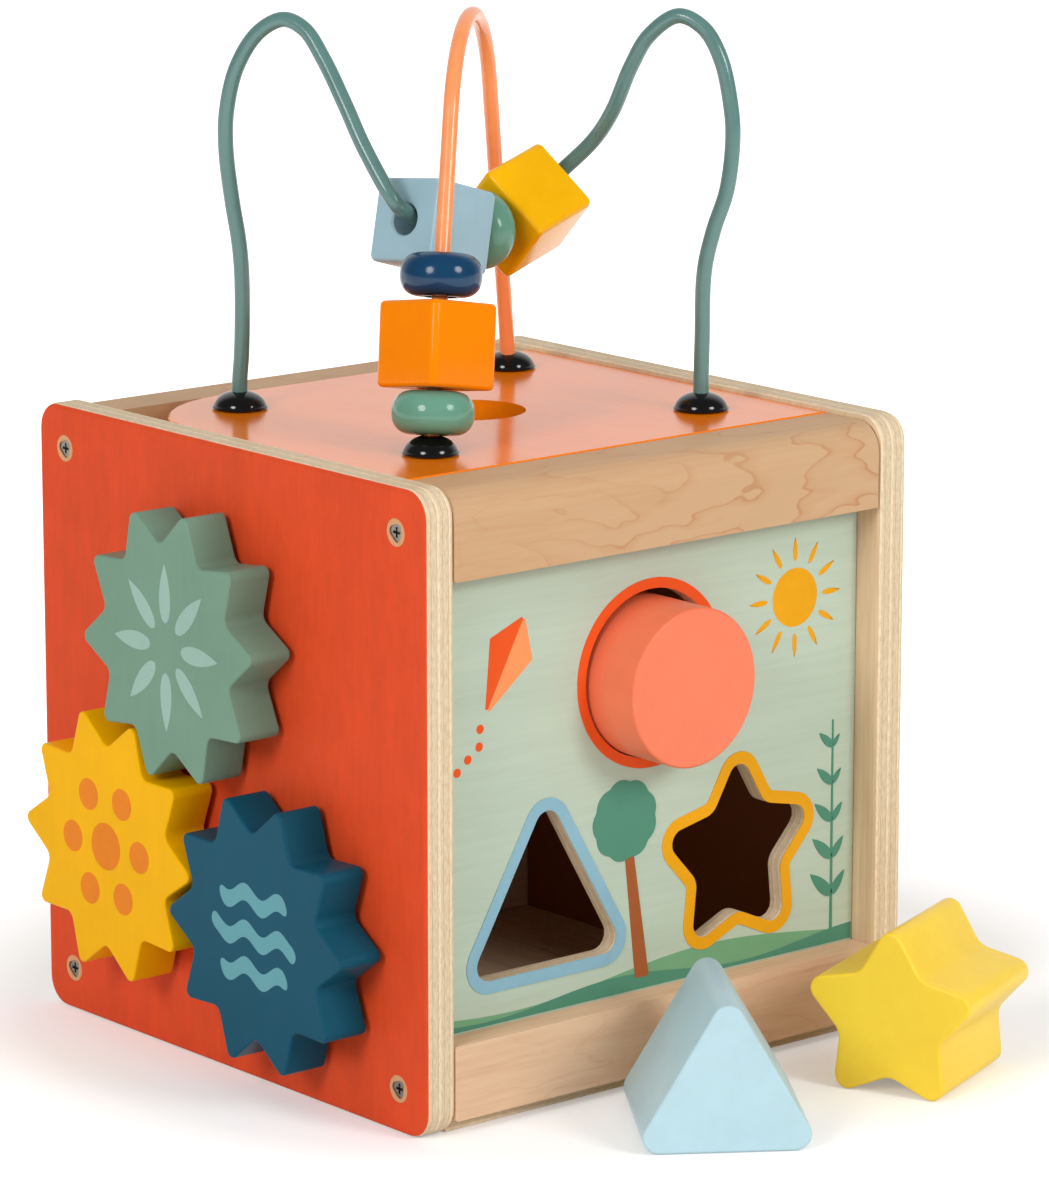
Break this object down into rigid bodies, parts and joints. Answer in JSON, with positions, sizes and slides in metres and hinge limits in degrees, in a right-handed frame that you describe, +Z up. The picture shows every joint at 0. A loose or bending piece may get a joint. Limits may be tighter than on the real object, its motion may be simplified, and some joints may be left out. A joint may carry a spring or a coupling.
{
  "type": "shape sorter activity cube",
  "caption": "Wooden activity cube with a shape-sorter front and loose blocks, meshing gears on one side and a lift-off lid carrying a bead maze on bent wires.",
  "frame": {"origin": "centre of the cube's underside, on the floor plane", "axes": "+Z up, -Y out of the sorter front, -X out of the gear side"},
  "size_m": [0.192, 0.248, 0.2941],
  "materials": {
    "red_stain": "stained plywood",
    "plain_ply": "plain plywood",
    "beech": "oiled beech",
    "mint_print": "printed plywood",
    "orange_lacquer": "gloss lacquer",
    "green_paint": "satin paint",
    "yellow_paint": "satin paint",
    "dark_blue_paint": "satin paint",
    "light_blue_paint": "satin paint",
    "orange_paint": "satin paint",
    "coral_paint": "satin paint",
    "sky_paint": "satin paint",
    "sun_paint": "satin paint",
    "black_plastic": "gloss",
    "green_wire_coat": "enamel",
    "orange_wire_coat": "enamel",
    "zinc": "zinc plated",
    "beech_dowel": "plain",
    "nylon": "plain"
  },
  "bodies": {
    "box": {"left_side_panel": "red_stain", "right_side_panel": "plain_ply", "top_front_rail": "beech", "top_back_rail": "beech", "bottom_front_rail": "beech", "bottom_back_rail": "beech", "sorter_panel": "mint_print", "back_panel": "plain_ply", "bottom_board": "plain_ply", "left_screw_1": "zinc", "left_screw_2": "zinc", "left_screw_3": "zinc", "left_screw_4": "zinc", "right_screw_1": "zinc", "right_screw_2": "zinc", "right_screw_3": "zinc", "right_screw_4": "zinc", "yellow_washer": "nylon", "green_washer": "nylon", "blue_washer": "nylon"},
    "lid": {"lid_panel": "orange_lacquer", "green_wire": "green_wire_coat", "orange_wire": "orange_wire_coat", "left_wire_foot": "black_plastic", "front_wire_foot": "black_plastic", "right_wire_foot": "black_plastic", "back_wire_foot": "black_plastic", "left_wire_nut": "zinc", "front_wire_nut": "zinc", "right_wire_nut": "zinc", "back_wire_nut": "zinc"},
    "yellow_gear_turning": {"yellow_gear": "yellow_paint", "yellow_axle": "beech_dowel", "yellow_retainer": "nylon"},
    "green_gear_turning": {"green_gear": "green_paint", "green_axle": "beech_dowel", "green_retainer": "nylon"},
    "blue_gear_turning": {"blue_gear": "dark_blue_paint", "blue_axle": "beech_dowel", "blue_retainer": "nylon"},
    "front_green_disc_bead": {"front_green_disc": "green_paint"},
    "orange_cube_bead": {"orange_cube": "orange_paint"},
    "dark_blue_disc_bead": {"dark_blue_disc": "dark_blue_paint"},
    "light_blue_cube_bead": {"light_blue_cube": "light_blue_paint"},
    "middle_green_disc_bead": {"middle_green_disc": "green_paint"},
    "yellow_cube_bead": {"yellow_cube": "yellow_paint"},
    "cylinder_loose_block": {"cylinder_block": "coral_paint"},
    "triangle_loose_block": {"triangle_block": "sky_paint"},
    "star_loose_block": {"star_block": "sun_paint"}
  },
  "joints": [
    {"name": "lid_lift", "type": "slide", "parent": "box", "child": "lid", "axis": [0, 0, 1], "range_m": [0, 0.15]},
    {"name": "yellow_gear_turn", "type": "hinge", "parent": "box", "child": "yellow_gear_turning", "pos_m": [-0.097, 0.0367, 0.0602], "axis": [1, 0, 0], "continuous": true},
    {"name": "green_gear_turn", "type": "hinge", "parent": "box", "child": "green_gear_turning", "pos_m": [-0.097, 0.00668, 0.12343], "axis": [1, 0, 0], "continuous": true},
    {"name": "blue_gear_turn", "type": "hinge", "parent": "box", "child": "blue_gear_turning", "pos_m": [-0.097, -0.03236, 0.04877], "axis": [1, 0, 0], "continuous": true},
    {"name": "front_green_disc_slide", "type": "slide", "parent": "lid", "child": "front_green_disc_bead", "axis": [0.2686, 0.234, 0.9344], "range_m": [0, 0.007]},
    {"name": "orange_cube_slide", "type": "slide", "parent": "front_green_disc_bead", "child": "orange_cube_bead", "axis": [0.2686, 0.234, 0.9344], "range_m": [0, 0.008]},
    {"name": "dark_blue_disc_slide", "type": "slide", "parent": "orange_cube_bead", "child": "dark_blue_disc_bead", "axis": [0.2686, 0.234, 0.9344], "range_m": [0, 0.012]},
    {"name": "middle_green_disc_slide", "type": "hinge", "parent": "lid", "child": "middle_green_disc_bead", "pos_m": [0.003, -0.0004, 0.2942], "axis": [0.1908, -0.9816, 0], "range_deg": [-2.4, 2.4]},
    {"name": "light_blue_cube_slide", "type": "hinge", "parent": "middle_green_disc_bead", "child": "light_blue_cube_bead", "pos_m": [0.003, -0.0004, 0.2942], "axis": [0.1908, -0.9816, 0], "range_deg": [-2.4, 0]},
    {"name": "yellow_cube_slide", "type": "hinge", "parent": "middle_green_disc_bead", "child": "yellow_cube_bead", "pos_m": [0.003, -0.0004, 0.2942], "axis": [0.1908, -0.9816, 0], "range_deg": [0, 2.4]},
    {"name": "cylinder_push", "type": "slide", "parent": "box", "child": "cylinder_loose_block", "axis": [0, 1, 0], "range_m": [-0.05, 0.03]},
    {"name": "triangle_block_lift", "type": "slide", "parent": "box", "child": "triangle_loose_block", "axis": [0, -0.6, 0.8], "range_m": [0, 0.15]},
    {"name": "star_block_lift", "type": "slide", "parent": "box", "child": "star_loose_block", "axis": [0, -0.6, 0.8], "range_m": [0, 0.15]}
  ],
  "couplings": [
    {"joint": "green_gear_turn", "follows": "yellow_gear_turn", "ratio": -1},
    {"joint": "blue_gear_turn", "follows": "yellow_gear_turn", "ratio": -1}
  ]
}
